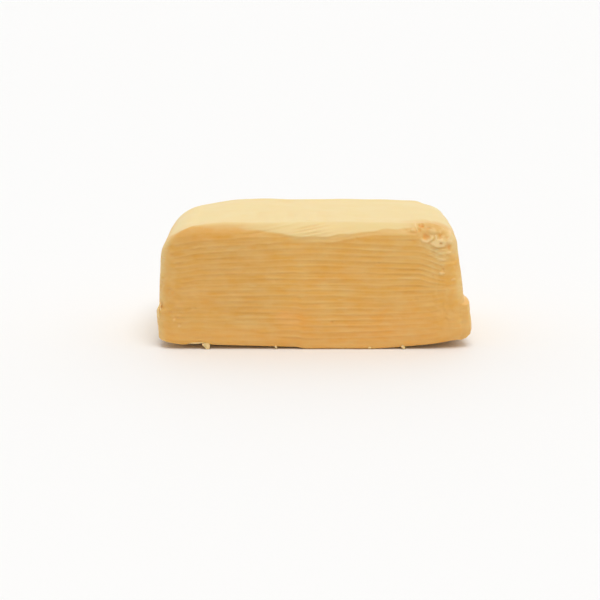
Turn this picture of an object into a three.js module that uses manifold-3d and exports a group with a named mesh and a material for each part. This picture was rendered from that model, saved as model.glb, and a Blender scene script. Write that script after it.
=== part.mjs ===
// A block of butter of about 250 g, as it stands once its wrapper is off: one solid piece.
// Millimetres, +Z up. The origin is the middle of the underside, the length runs along X, and the
// face with the soft lip over its top edge looks along -Y.
//
// The skin is one closed grid. Rows climb from the underside, up the walls and over the top edge.
// Columns run once round the plan. Two grids close the underside and the top. Each pair of rows on
// a long face is one rib. Pits and flakes are cut and joined afterwards.

import * as THREE from "three";
import { mergeVertices } from "three/addons/utils/BufferGeometryUtils.js";
import Module from "manifold-3d";

const { lerp, clamp, smoothstep } = THREE.MathUtils;
const QUARTER = Math.PI / 2;

// Driving dimensions of the block, at the foot of its walls. x = 0 is near the middle of its length.
const REACH = { left: 54.8, right: 54.1 };
const DEPTH = 65;
const HEIGHT = 44;
const HALF_Y = DEPTH / 2;

// How far each wall leans in between its foot and the top
const LEAN = { left: 1.9, right: 5.3, front: 1.2, back: 1.8 };

// Radii of the four upright corners, seen from above. Up the walls the front's corners open, and
// over the top edge all four tighten.
const CORNER = { frontLeft: 5, frontRight: 4.5, backRight: 14, backLeft: 18 };
const CORNER_OPENS = { frontLeft: 7, frontRight: 4, backRight: 0, backLeft: 0 };
const OPENING_POWER = 3;
const CORNER_TIGHTENS = 5;
const SMALLEST_CORNER = 1.2;

// Radii of the edges: the foot all round, and the top edge side by side, soft in the front's middle
const FOOT_RADIUS = 1.3;
const TOP_RADIUS = { left: 11, right: 7, back: 7, front: 2.2, frontMiddle: 6.5 };
const SOFT_MIDDLE = { x: 2, reach: 19 };

// The top sags towards both ends, from `from` outward, by `sooner` sooner at the back and later at
// the front. It is a little crowned.
const SAG = { left: { drop: 1.5, from: 27 }, right: { drop: 1.5, from: 30 }, power: 1.5, sooner: 9 };
const CROWN = 0.25;

// The underside is flat in the middle. It lifts off the table towards both ends, beyond `flat`, and
// along a stretch of the front's foot, the more the further left.
const END_LIFT = { left: { rise: 2.8, flat: 36 }, right: { rise: 3.2, flat: 29 }, power: 1.2 };
const FRONT_LIFT = { rise: 0.6, slope: 0.028, from: -47, full: -40, fullTo: -6.5, to: -3.5, flat: 24 };

// Ribs of the long faces: two rows each. Their ends hang lower than their middle by up to `drop`,
// most of all at the share `full` of the climb.
const RIB_PITCH = 2.12;
const RIB_DEPTH = 0.26;
const RIB_ARCH = { drop: 3.9, power: 2.6, from: 0.1, full: 0.75 };
const RIB_COUNT = Math.round((HEIGHT + (QUARTER - 1) * TOP_RADIUS.front) / RIB_PITCH);

// Where the ribs fade out: at the foot, under the top edge, at both ends, in the lower right, and
// below a slanting line in the lower left, which lies further down on the back
const RIB_FOOT = { from: 2, full: 5 };
const RIB_TOP = { from: 36.5, gone: 41 };
const RIB_ENDS = { left: { from: 47.5, gone: 52 }, right: { from: 43, gone: 46.5 } };
const BARE_RIGHT = { from: 40, full: 47, low: 13, high: 24 };
const BARE_LEFT = { x: -49, z: 25, slope: -0.52, soft: 3, backDrop: 8, backSoft: 5 };
const RIB_FACING = 8;

// The lip: butter pushed over the front's top edge. It ends below in a soft line that dips round
// x = `x`, where it is thickest, and it thins out upwards and towards both ends.
const LIP = { out: 0.6, thinnest: 0.3, upFade: 3, below: 1, above: 0.4 };
const LIP_LINE = { drop: 0.9, dip: 3.5, x: -0.5, reach: 17 };
const LIP_ENDS = { middle: 4, from: 24, gone: 40 };

// Ledges on the two ends, left by the wrapper's folds. Each stands out by `out` below the height
// `z`, down to `foot`. Towards the back it keeps the share `rest`.
const RIGHT_LEDGE = { out: 1.6, z: 14.7, edge: 0.7, foot: -60, front: -14, back: 30, rest: 0.35 };
const LEFT_LEDGE = { out: 1, z: 13.8, edge: 0.7, foot: 3, front: -20, back: 4, rest: 0 };

// Soft unevenness of the whole skin above its foot: two scales, each a sum of three waves
const SWELLS = [
  { length: 37, height: 0.2 },
  { length: 14, height: 0.09 },
];
const WAVES = [
  { along: [1, 0, 0.6], phase: 1.3, shift: 2.1 },
  { along: [0, 0.8, -0.9], phase: 0.7, shift: 1.7 },
  { along: [0.5, -0.4, 0.7], phase: 0, shift: 2.9 },
];
const SWELL_FOOT = { from: 2, full: 9 };

// Grid: columns along a long face, along an end and round a corner, and rows of the foot's edge
const FACE_COLUMNS = 30;
const END_COLUMNS = 7;
const CORNER_COLUMNS = 4;
const FOOT_ROWS = 3;
const WALL_ROWS = 2 * RIB_COUNT;

// Pits of the crushed corner, at the right end of the lip. `deep` is from the skin to the middle of
// the pit's ellipsoid.
const PITS = [
  { x: 36.7, z: 43, deep: 0.1, half: [1.2, 1.1, 0.9] },
  { x: 38.4, z: 40.6, deep: 0, half: [1.1, 1.1, 1.4] },
  { x: 43.3, z: 39.9, deep: 0.1, half: [1.3, 1, 0.7] },
  { x: 46.4, z: 36.5, deep: 0.4, half: [0.8, 0.9, 0.8] },
];

// Rims of the crushed corner that stand proud under its pits
const RIMS = [
  { x: 38.6, z: 38.7, half: [2, 0.6, 0.5] },
  { x: 43.2, z: 37.6, half: [2.7, 0.6, 1.2] },
];

// Torn tips: the curl at the top of the left end's ledge, and two scraps under the front's foot.
// Each tapers from its root's radius to the share `TIP_END` of it.
const TIPS = [
  { root: [-53.6, -29, 9.6], end: [-55.5, -30, 15.2], radius: 1.3 },
  { root: [-38, -31.4, 3], end: [-37.5, -32.6, 0.2], radius: 1.1 },
  { root: [30.4, -31.4, 2.2], end: [31, -32.7, 0.3], radius: 0.6 },
];
const TIP_END = 0.15;
const TIP_SIDES = 8;
const BLOB_SIDES = { round: 12, down: 8 };
const MERGE_DISTANCE = 1e-4;

const butter = new THREE.MeshStandardMaterial({ color: 0xe6b464, roughness: 0.48, metalness: 0 });

// Falls from 1 at `from` to 0 at `to`
function fall(value, from, to) {
  return 1 - smoothstep(value, from, to);
}

// A bell of height 1 round `middle`
function bell(value, middle, reach) {
  return Math.exp(-(((value - middle) / reach) ** 2));
}

// Height of the underside over the table
function underside(x, y) {
  const side = x < 0 ? "left" : "right";
  const end = END_LIFT[side];
  const outward = clamp((Math.abs(x) - end.flat) / (REACH[side] - end.flat), 0, 1);
  const { rise, slope, from, full, fullTo, to, flat } = FRONT_LIFT;
  const front = rise + slope * Math.max(0, to - x);
  const along = smoothstep(x, from, full) * fall(x, fullTo, to);
  return end.rise * outward ** END_LIFT.power + front * along * smoothstep(-y, flat, HALF_Y);
}

// Height of the top over the table. `backward` runs from -1 at the front to 1 at the back.
function topside(x, backward) {
  const side = x < 0 ? "left" : "right";
  const from = SAG[side].from - SAG.sooner * backward;
  return HEIGHT - SAG[side].drop * smoothstep(Math.abs(x), from, REACH[side]) ** SAG.power;
}

// Radius of the top edge where the wall faces along (nx, ny)
function topRadius(x, nx, ny) {
  const middle = bell(x, SOFT_MIDDLE.x, SOFT_MIDDLE.reach);
  const front = lerp(TOP_RADIUS.front, TOP_RADIUS.frontMiddle, middle);
  const end = nx < 0 ? TOP_RADIUS.left : TOP_RADIUS.right;
  return nx * nx * end + ny * ny * (ny < 0 ? front : TOP_RADIUS.back);
}

// The columns, once round anticlockwise from the middle of the front left corner. A column on a
// wall has its share of the way along it, and one in a corner has its direction from the centre.
function makeColumns() {
  const half = CORNER_COLUMNS / 2;
  const walls = ["front", "right", "back", "left"];
  const corners = ["frontLeft", "frontRight", "backRight", "backLeft"];
  const columns = [];
  walls.forEach((wall, w) => {
    const facing = -QUARTER + w * QUARTER;
    const count = w % 2 === 0 ? FACE_COLUMNS : END_COLUMNS;
    for (let i = -half; i < count + half; i += 1) {
      if (i < 0 || i > count) {
        const corner = corners[i < 0 ? w : (w + 1) % corners.length];
        const turned = i < 0 ? i : i - count;
        columns.push({ corner, angle: facing + (turned / half) * (QUARTER / 2) });
      } else {
        columns.push({ wall, share: i / count, angle: facing });
      }
    }
  });
  return columns;
}

// A column's place in the plan, where the walls stand at height z and are drawn in by the share
// `inset` of each top radius, or by `foot` all round.
function planPoint(column, z, inset, foot) {
  const up = clamp(z / HEIGHT, 0, 1);
  const nx = Math.cos(column.angle);
  const ny = Math.sin(column.angle);
  const left = -REACH.left + LEAN.left * up * up + TOP_RADIUS.left * inset + foot;
  const right = REACH.right - LEAN.right * up - TOP_RADIUS.right * inset - foot;
  const back = HALF_Y - LEAN.back * up - TOP_RADIUS.back * inset - foot;
  const frontAt = (x) => -HALF_Y + LEAN.front * up + topRadius(x, 0, -1) * inset + foot;
  const radius = {};
  for (const [name, r] of Object.entries(CORNER)) {
    const opened = r + CORNER_OPENS[name] * up ** OPENING_POWER;
    radius[name] = Math.max(opened - CORNER_TIGHTENS * inset - foot, SMALLEST_CORNER);
  }

  let x;
  let y;
  if (column.corner) {
    const r = radius[column.corner];
    const onLeft = column.corner.endsWith("Left");
    x = (onLeft ? left + r : right - r) + r * nx;
    y = (column.corner.startsWith("front") ? frontAt(x) + r : back - r) + r * ny;
  } else if (column.wall === "front") {
    x = lerp(left + radius.frontLeft, right - radius.frontRight, column.share);
    y = frontAt(x);
  } else if (column.wall === "back") {
    x = lerp(right - radius.backRight, left + radius.backLeft, column.share);
    y = back;
  } else if (column.wall === "right") {
    x = right;
    y = lerp(frontAt(right) + radius.frontRight, back - radius.backRight, column.share);
  } else {
    x = left;
    y = lerp(back - radius.backLeft, frontAt(left) + radius.frontLeft, column.share);
  }
  return { x, y, nx, ny };
}

// Slow swells of the skin, outward where above zero
function swell(x, y, z) {
  let sum = 0;
  SWELLS.forEach(({ length, height }, scale) => {
    for (const { along, phase, shift } of WAVES) {
      const way = along[0] * x + along[1] * y + along[2] * z;
      sum += (height / 2) * Math.sin((2 * Math.PI * way) / length + phase + shift * scale);
    }
  });
  return sum * smoothstep(z, SWELL_FOOT.from, SWELL_FOOT.full);
}

// How strongly the ribs show at (x, z) on a wall that faces along ny
function ribShare(x, z, ny) {
  const line = BARE_LEFT.z + BARE_LEFT.slope * (x - BARE_LEFT.x) - (ny < 0 ? 0 : BARE_LEFT.backDrop);
  const soft = ny < 0 ? BARE_LEFT.soft : BARE_LEFT.backSoft;
  const overLine = smoothstep(z - line, -soft, soft);
  const offRight =
    1 - smoothstep(x, BARE_RIGHT.from, BARE_RIGHT.full) * fall(z, BARE_RIGHT.low, BARE_RIGHT.high);
  const end = x < 0 ? RIB_ENDS.left : RIB_ENDS.right;
  const ends = fall(Math.abs(x), end.from, end.gone);
  const upright = smoothstep(z, RIB_FOOT.from, RIB_FOOT.full) * fall(z, RIB_TOP.from, RIB_TOP.gone);
  return Math.abs(ny) ** RIB_FACING * overLine * offRight * ends * upright;
}

// How far the lip stands out of the front
function lip(x, z) {
  const dip = bell(x, LIP_LINE.x, LIP_LINE.reach);
  const over = z - HEIGHT + LIP_LINE.drop + LIP_LINE.dip * dip;
  const upward = smoothstep(over, -LIP.below, LIP.above) * Math.exp(-Math.max(0, over) / LIP.upFade);
  const ends = fall(Math.abs(x - LIP_ENDS.middle), LIP_ENDS.from, LIP_ENDS.gone);
  return LIP.out * upward * ends * lerp(LIP.thinnest, 1, dip);
}

// How far an end's ledge stands out of its wall
function ledge(y, z, nx) {
  const { out, z: at, edge, foot, front, back, rest } = nx > 0 ? RIGHT_LEDGE : LEFT_LEDGE;
  const below = fall(z, at - edge, at + edge) * smoothstep(z, foot, at);
  return nx * nx * out * below * lerp(1, rest, smoothstep(y, front, back));
}

// One vertex of the foot's rounded edge. Row 0 lies on the underside.
function footPoint(column, row, wallFoot) {
  const turn = QUARTER * (1 - row / FOOT_ROWS);
  const p = planPoint(column, wallFoot, 0, FOOT_RADIUS * (1 - Math.cos(turn)));
  return new THREE.Vector3(p.x, p.y, wallFoot - FOOT_RADIUS * Math.sin(turn));
}

// How far a row hangs below its middle at x. `share` is the row's share of the climb.
function ribArch(x, share) {
  const bow = Math.min(1, Math.abs(x) / REACH.left) ** RIB_ARCH.power;
  const upTo = smoothstep(share, RIB_ARCH.from, RIB_ARCH.full);
  return RIB_ARCH.drop * bow * upTo * fall(share, RIB_ARCH.full, 1);
}

// One vertex of the skin. The last row lies on the top.
function skinPoint(column, row) {
  const flat = planPoint(column, 0, 0, FOOT_RADIUS);
  const wallFoot = underside(flat.x, flat.y) + FOOT_RADIUS;
  if (row < FOOT_ROWS) return footPoint(column, row, wallFoot);

  const at = planPoint(column, HEIGHT, 0, 0);
  const radius = topRadius(at.x, at.nx, at.ny);
  const top = topside(at.x, at.ny);
  const wall = top - radius - wallFoot;
  const share = (row - FOOT_ROWS) / WALL_ROWS;
  const climbed = share * (wall + QUARTER * radius) - ribArch(at.x, share);
  const turn = clamp((climbed - wall) / radius, 0, QUARTER);
  const z = climbed < wall ? wallFoot + climbed : top - radius + radius * Math.sin(turn);
  const p = planPoint(column, z, 1 - Math.cos(turn), 0);

  const wave = (row % 2 === 0 ? 0.5 : -0.5) * RIB_DEPTH * ribShare(p.x, z, p.ny);
  const front = p.ny < 0 ? p.ny * p.ny * lip(p.x, z) : 0;
  const out = wave + front + ledge(p.y, z, p.nx) + swell(p.x, p.y, z);
  const sideways = Math.cos(turn) * out;
  return new THREE.Vector3(p.x + p.nx * sideways, p.y + p.ny * sideways, z + Math.sin(turn) * out);
}

// A vertex inside a closing grid, blended from the four sides of its rim
function inRim(rim, i, j, wide, deep) {
  const u = i / wide;
  const v = j / deep;
  const left = rim[(2 * wide + 2 * deep - j) % rim.length];
  const corners = [rim[0], rim[wide], rim[2 * wide + deep], rim[wide + deep]];
  const shares = [(1 - u) * (1 - v), u * (1 - v), (1 - u) * v, u * v];
  const p = new THREE.Vector3()
    .addScaledVector(rim[i], 1 - v)
    .addScaledVector(rim[2 * wide + deep - i], v)
    .addScaledVector(left, 1 - u)
    .addScaledVector(rim[wide + j], u);
  corners.forEach((corner, c) => p.addScaledVector(corner, -shares[c]));
  return p;
}

// Closes the rim of points that begins at `start` with a grid, and adds its points and faces
function closeRim(points, faces, start, round, isTop) {
  const wide = FACE_COLUMNS + CORNER_COLUMNS;
  const deep = END_COLUMNS + CORNER_COLUMNS;
  const rim = points.slice(start, start + round);
  const inner = points.length;
  const index = (i, j) => {
    if (j === 0) return start + i;
    if (i === wide) return start + wide + j;
    if (j === deep) return start + 2 * wide + deep - i;
    if (i === 0) return start + ((2 * wide + 2 * deep - j) % round);
    return inner + (j - 1) * (wide - 1) + (i - 1);
  };
  for (let j = 1; j < deep; j += 1)
    for (let i = 1; i < wide; i += 1) {
      const p = inRim(rim, i, j, wide, deep);
      const hump = Math.sin((Math.PI * i) / wide) * Math.sin((Math.PI * j) / deep);
      p.z = isTop ? p.z + CROWN * hump : underside(p.x, p.y);
      points.push(p);
    }
  for (let j = 0; j < deep; j += 1)
    for (let i = 0; i < wide; i += 1) {
      const [a, b, c, d] = [index(i, j), index(i + 1, j), index(i + 1, j + 1), index(i, j + 1)];
      faces.push(...(isTop ? [a, b, c, a, c, d] : [a, c, b, a, d, c]));
    }
}

// The whole skin as one closed indexed geometry
function makeSkin() {
  const columns = makeColumns();
  const rows = FOOT_ROWS + WALL_ROWS;
  const round = columns.length;
  const points = [];
  const faces = [];
  for (let row = 0; row <= rows; row += 1)
    for (const column of columns) points.push(skinPoint(column, row));
  for (let row = 0; row < rows; row += 1)
    for (let c = 0; c < round; c += 1) {
      const a = row * round + c;
      const b = row * round + ((c + 1) % round);
      faces.push(a, b, b + round, a, b + round, a + round);
    }
  closeRim(points, faces, 0, round, false);
  closeRim(points, faces, rows * round, round, true);

  const geometry = new THREE.BufferGeometry().setFromPoints(points);
  geometry.setIndex(faces);
  return geometry;
}

const wasm = await Module();
wasm.setup();

// A closed three.js geometry as a solid that can be cut and joined
function solidOf(geometry) {
  const bare = geometry.clone();
  bare.deleteAttribute("normal");
  bare.deleteAttribute("uv");
  const merged = mergeVertices(bare, MERGE_DISTANCE);
  const mesh = new wasm.Mesh({
    numProp: 3,
    vertProperties: new Float32Array(merged.attributes.position.array),
    triVerts: new Uint32Array(merged.index.array),
  });
  return new wasm.Manifold(mesh);
}

// A solid as a three.js geometry
function geometryOf(solid) {
  const mesh = solid.getMesh();
  const geometry = new THREE.BufferGeometry();
  geometry.setAttribute("position", new THREE.BufferAttribute(mesh.vertProperties, 3));
  geometry.setIndex(new THREE.BufferAttribute(mesh.triVerts, 1));
  return geometry;
}

// An ellipsoid of the given half axes
function blob(centre, halfAxes) {
  const ball = new THREE.SphereGeometry(1, BLOB_SIDES.round, BLOB_SIDES.down);
  ball.scale(...halfAxes).translate(...centre);
  return solidOf(ball);
}

// A pointed tip that tapers from a round root to its end
function tip(root, end, radius) {
  const [a, b] = [new THREE.Vector3(...root), new THREE.Vector3(...end)];
  const along = b.clone().sub(a);
  const cone = new THREE.CylinderGeometry(TIP_END * radius, radius, along.length(), TIP_SIDES);
  const turn = new THREE.Quaternion().setFromUnitVectors(
    new THREE.Vector3(0, 1, 0),
    along.clone().normalize(),
  );
  cone.applyQuaternion(turn).translate(...a.add(b).multiplyScalar(0.5));
  return solidOf(cone);
}

// The front skin's y at (x, z), without its swells and ribs
function frontSkin(x, z) {
  const radius = topRadius(x, 0, -1);
  const rise = clamp((z - topside(x, -1) + radius) / radius, 0, 1);
  const over = radius * (1 - Math.sqrt(1 - rise * rise));
  return -HALF_Y + (LEAN.front * z) / HEIGHT + over - lip(x, z);
}

function makeBlock() {
  let block = solidOf(makeSkin());
  for (const { x, z, deep, half } of PITS)
    block = block.subtract(blob([x, frontSkin(x, z) + deep, z], half));
  for (const { x, z, half } of RIMS) block = block.add(blob([x, frontSkin(x, z), z], half));
  for (const { root, end, radius } of TIPS) block = block.add(tip(root, end, radius));
  const geometry = geometryOf(block);
  geometry.computeBoundingBox();
  const middle = geometry.boundingBox.getCenter(new THREE.Vector3());
  geometry.translate(-middle.x, -middle.y, 0);
  const mesh = new THREE.Mesh(geometry, butter);
  mesh.name = "butter_block";
  return mesh;
}

const group = new THREE.Group();
group.add(makeBlock());

export default group;
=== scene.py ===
"""The looks of a block of butter, out of its wrapper: one solid piece of food.

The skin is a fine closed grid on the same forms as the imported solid. Rows climb from the
underside over the walls to the top, and six of them make one rib. Everything finer is relief:
each field of relief says how far a point of the skin stands out along its normal.
Sizes are in millimetres, and become metres where an object is made.
"""

import math

import bpy
import numpy as np
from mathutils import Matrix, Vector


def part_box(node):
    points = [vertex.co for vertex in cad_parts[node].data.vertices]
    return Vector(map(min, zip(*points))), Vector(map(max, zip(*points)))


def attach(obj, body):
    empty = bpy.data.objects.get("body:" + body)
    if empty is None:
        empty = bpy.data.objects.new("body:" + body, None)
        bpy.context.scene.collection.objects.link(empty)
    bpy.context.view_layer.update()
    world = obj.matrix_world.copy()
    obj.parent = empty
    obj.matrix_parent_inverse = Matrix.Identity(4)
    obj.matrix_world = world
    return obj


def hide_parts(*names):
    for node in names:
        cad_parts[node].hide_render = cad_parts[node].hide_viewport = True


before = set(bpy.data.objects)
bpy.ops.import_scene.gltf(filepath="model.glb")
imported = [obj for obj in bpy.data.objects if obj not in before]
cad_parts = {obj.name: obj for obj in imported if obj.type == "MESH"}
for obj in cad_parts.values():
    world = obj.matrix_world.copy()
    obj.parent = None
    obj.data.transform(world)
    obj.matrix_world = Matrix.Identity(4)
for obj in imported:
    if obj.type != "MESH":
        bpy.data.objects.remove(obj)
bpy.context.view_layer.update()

MM = 0.001
QUARTER = math.pi / 2

# The least that anything is divided by
TINY = 1e-6

# Driving sizes of the block, at the foot of its walls. x = 0 is near the middle of its length.
LEFT = 54.8
RIGHT = 54.1
DEPTH = 64.8
HEIGHT = 44.0
HALF_Y = DEPTH / 2

# How far each wall leans in between its foot and the top
LEAN = {"left": 1.9, "right": 5.3, "front": 1.2, "back": 1.8}

# Radii of the upright corners in the order of the walls' starts. Up the walls the front's corners
# open, and over the top edge all of them tighten.
CORNER = {"front_left": 5.0, "front_right": 4.5, "back_right": 14.0, "back_left": 18.0}
CORNER_OPENS = {"front_left": 1.5, "front_right": 4.0, "power": 3.0}
CORNER_TIGHTENS = 5.0
SMALLEST_CORNER = 1.2

# Radii of the foot's edge, which is rounder at the right end, and of the top edge, which is soft in
# the front's middle
FOOT_RADIUS = {"most": 1.3, "right_end": 4.0, "x": (40.0, 53.0)}
TOP_RADIUS = {"left": 11.0, "right": 7.0, "back": 7.0, "front": 5.2, "front_middle": 6.5}
SOFT_MIDDLE = {"middle": 2.0, "reach": 19.0}

# The top sags towards both ends, from nearer the middle at the back than at the front. The
# underside lifts off towards both ends, and more along a stretch of the front's left half.
SAG = {"left": (1.5, 27.0), "right": (1.5, 30.0), "power": 1.5, "sooner": 9.0}
CROWN = 0.25
END_LIFT = {"left": (2.8, 35.0), "right": (3.0, 21.0), "power": 1.2}
FRONT_LIFT = {"rise": 0.6, "slope": 0.028, "start": (-47.0, -40.0), "stop": (-6.5, -3.5), "flat": 24.0}

# Ribs of the long faces: their pitch and depth, and how far their ends hang below their middle
RIB_PITCH = 2.12
RIB_DEPTH = 0.235
RIB_ARCH = {"drop": 3.9, "power": 2.6, "start": 0.1, "full": 0.75}
RIB_COUNT = round((HEIGHT + (QUARTER - 1) * TOP_RADIUS["front"]) / RIB_PITCH)

# Grid: columns along a long face, along an end and round a corner, and rows. The front's columns
# crowd together towards its right end. Top and underside begin with a ring one step inside their
# rim.
FACE_COLUMNS = 220
END_COLUMNS = 56
CORNER_COLUMNS = 16
FOOT_ROWS = 5
ROWS_A_RIB = 6
CROWDING = 1.3
WALL_ROWS = ROWS_A_RIB * RIB_COUNT
CAP_STEP = 1.0


def smoothstep(value, start, stop):
    """Rises smoothly from 0 at start to 1 at stop."""
    t = np.clip((value - start) / (stop - start), 0, 1)
    return t * t * (3 - 2 * t)


def fall(value, start, stop):
    """Falls smoothly from 1 at start to 0 at stop."""
    return 1 - smoothstep(value, start, stop)


def bell(value, middle, reach):
    """A bell of height 1 round middle."""
    return np.exp(-(((value - middle) / reach) ** 2))


NOISE_CELLS = 24


def noise(points, size, seed):
    """Smooth noise from -1 to 1 at points, with cells of the given size along x, y and z."""
    lattice = np.random.default_rng(seed).uniform(-1, 1, (NOISE_CELLS,) * 3)
    scaled = points / np.array(size)
    corner = np.floor(scaled).astype(int)
    t = scaled - corner
    t = t * t * (3 - 2 * t)
    total = np.zeros(len(points))
    for step in np.ndindex(2, 2, 2):
        share = np.prod(np.where(step, t, 1 - t), axis=1)
        at = (corner + step) % NOISE_CELLS
        total += share * lattice[at[:, 0], at[:, 1], at[:, 2]]
    return total


def underside(x, y):
    """Height of the underside over the table."""
    rise = np.where(x < 0, END_LIFT["left"][0], END_LIFT["right"][0])
    flat = np.where(x < 0, END_LIFT["left"][1], END_LIFT["right"][1])
    reach = np.where(x < 0, LEFT, RIGHT)
    outward = np.clip((np.abs(x) - flat) / (reach - flat), 0, 1)
    along = smoothstep(x, *FRONT_LIFT["start"]) * fall(x, *FRONT_LIFT["stop"])
    across = smoothstep(-y, FRONT_LIFT["flat"], HALF_Y)
    front = FRONT_LIFT["rise"] + FRONT_LIFT["slope"] * np.maximum(0, FRONT_LIFT["stop"][1] - x)
    return rise * outward ** END_LIFT["power"] + front * along * across


def topside(x, backward):
    """Height of the top over the table. backward runs from -1 at the front to 1 at the back."""
    drop = np.where(x < 0, SAG["left"][0], SAG["right"][0])
    start = np.where(x < 0, SAG["left"][1], SAG["right"][1]) - SAG["sooner"] * backward
    reach = np.where(x < 0, LEFT, RIGHT)
    return HEIGHT - drop * smoothstep(np.abs(x), start, reach) ** SAG["power"]


def foot_radius(x):
    """Radius of the foot's edge."""
    rounder = FOOT_RADIUS["right_end"] - FOOT_RADIUS["most"]
    return FOOT_RADIUS["most"] + rounder * smoothstep(x, *FOOT_RADIUS["x"])


def top_radius(x, nx, ny):
    """Radius of the top edge where the wall faces along (nx, ny)."""
    middle = bell(x, **SOFT_MIDDLE)
    front = TOP_RADIUS["front"] + (TOP_RADIUS["front_middle"] - TOP_RADIUS["front"]) * middle
    end = np.where(nx < 0, TOP_RADIUS["left"], TOP_RADIUS["right"])
    return nx * nx * end + ny * ny * np.where(ny < 0, front, TOP_RADIUS["back"])


class Columns:
    """The grid's columns, once round anticlockwise from the middle of the front left corner."""

    WALLS = {
        "front": FACE_COLUMNS,
        "right": END_COLUMNS,
        "back": FACE_COLUMNS,
        "left": END_COLUMNS,
    }

    def __init__(self):
        half = CORNER_COLUMNS // 2
        corners = list(CORNER)
        place, share, angle = [], [], []
        for w, (wall, count) in enumerate(self.WALLS.items()):
            facing = (w - 1) * QUARTER
            for i in range(-half, count + half):
                on_wall = 0 <= i <= count
                turned = 0 if on_wall else (i if i < 0 else i - count)
                corner = corners[w if i < 0 else (w + 1) % len(corners)]
                place.append(wall if on_wall else corner)
                even = min(max(i / count, 0), 1)
                share.append(1 - (1 - even) ** CROWDING if wall == "front" else even)
                angle.append(facing + turned / half * QUARTER / 2)
        self.place = np.array(place)
        self.share = np.array(share)
        self.angle = np.array(angle)
        self.nx = np.cos(self.angle)
        self.ny = np.sin(self.angle)


def plan_point(columns, z, inset, foot):
    """x and y of each column where its wall stands at height z, drawn in by the share inset of
    each top radius, or by foot all round. z, inset and foot have a row for each row."""
    up = np.clip(z / HEIGHT, 0, 1)
    left = -LEFT + LEAN["left"] * up * up + TOP_RADIUS["left"] * inset + foot
    right = RIGHT - LEAN["right"] * up - TOP_RADIUS["right"] * inset - foot
    back = HALF_Y - LEAN["back"] * up - TOP_RADIUS["back"] * inset - foot

    def front_at(x):
        return -HALF_Y + LEAN["front"] * up + top_radius(x, 0.0, -1.0) * inset + foot

    r = {}
    for name, radius in CORNER.items():
        opened = radius + CORNER_OPENS.get(name, 0.0) * up ** CORNER_OPENS["power"]
        r[name] = np.maximum(opened - CORNER_TIGHTENS * inset - foot, SMALLEST_CORNER)
    share = columns.share
    x = np.zeros(z.shape)
    y = np.zeros(z.shape)

    def put(place, new_x, new_y):
        on = np.broadcast_to(columns.place == place, z.shape)
        x[on] = np.broadcast_to(new_x, z.shape)[on]
        y[on] = np.broadcast_to(new_y, z.shape)[on]

    start, stop = left + r["front_left"], right - r["front_right"]
    front_x = start + (stop - start) * share
    put("front", front_x, front_at(front_x))
    start, stop = right - r["back_right"], left + r["back_left"]
    put("back", start + (stop - start) * share, back)
    start, stop = front_at(right) + r["front_right"], back - r["back_right"]
    put("right", right, start + (stop - start) * share)
    start, stop = back - r["back_left"], front_at(left) + r["front_left"]
    put("left", left, start + (stop - start) * share)
    for corner, radius in r.items():
        centre_x = left + radius if corner.endswith("left") else right - radius
        corner_x = centre_x + radius * columns.nx
        edge = front_at(corner_x) + radius if corner.startswith("front") else back - radius
        put(corner, corner_x, edge + radius * columns.ny)
    return x, y


def wall_rows(columns):
    """Points of the rows from the foot's edge to the top's rim, and each row's count of ribs."""
    no_rows = np.zeros((1, len(columns.place)))
    radius = foot_radius(plan_point(columns, no_rows, no_rows, no_rows)[0])
    flat_x, flat_y = plan_point(columns, no_rows, no_rows, radius)
    wall_foot = underside(flat_x, flat_y) + radius

    turn = QUARTER * (1 - np.arange(FOOT_ROWS)[:, None] / FOOT_ROWS)
    foot_z = np.repeat(wall_foot, FOOT_ROWS, axis=0)
    foot_x, foot_y = plan_point(columns, foot_z, 0 * foot_z, radius * (1 - np.cos(turn)))
    foot = np.stack([foot_x, foot_y, foot_z - radius * np.sin(turn)], axis=-1)

    top_x, _ = plan_point(columns, no_rows + HEIGHT, no_rows, no_rows)
    radius = top_radius(top_x, columns.nx, columns.ny)
    top = topside(top_x, columns.ny)
    wall = top - radius - wall_foot
    share = np.arange(WALL_ROWS + 1)[:, None] / WALL_ROWS
    bow = np.minimum(1, np.abs(top_x) / LEFT) ** RIB_ARCH["power"]
    bend = smoothstep(share, RIB_ARCH["start"], RIB_ARCH["full"]) * fall(share, RIB_ARCH["full"], 1)
    climbed = share * (wall + QUARTER * radius) - RIB_ARCH["drop"] * bow * bend
    turn = np.clip((climbed - wall) / radius, 0, QUARTER)
    z = np.where(climbed < wall, wall_foot + climbed, top - radius + radius * np.sin(turn))
    x, y = plan_point(columns, z, 1 - np.cos(turn), 0 * z)
    ribs = np.concatenate([np.zeros(FOOT_ROWS), np.arange(WALL_ROWS + 1) / ROWS_A_RIB])
    return np.concatenate([foot, np.stack([x, y, z], axis=-1)]), ribs


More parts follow.
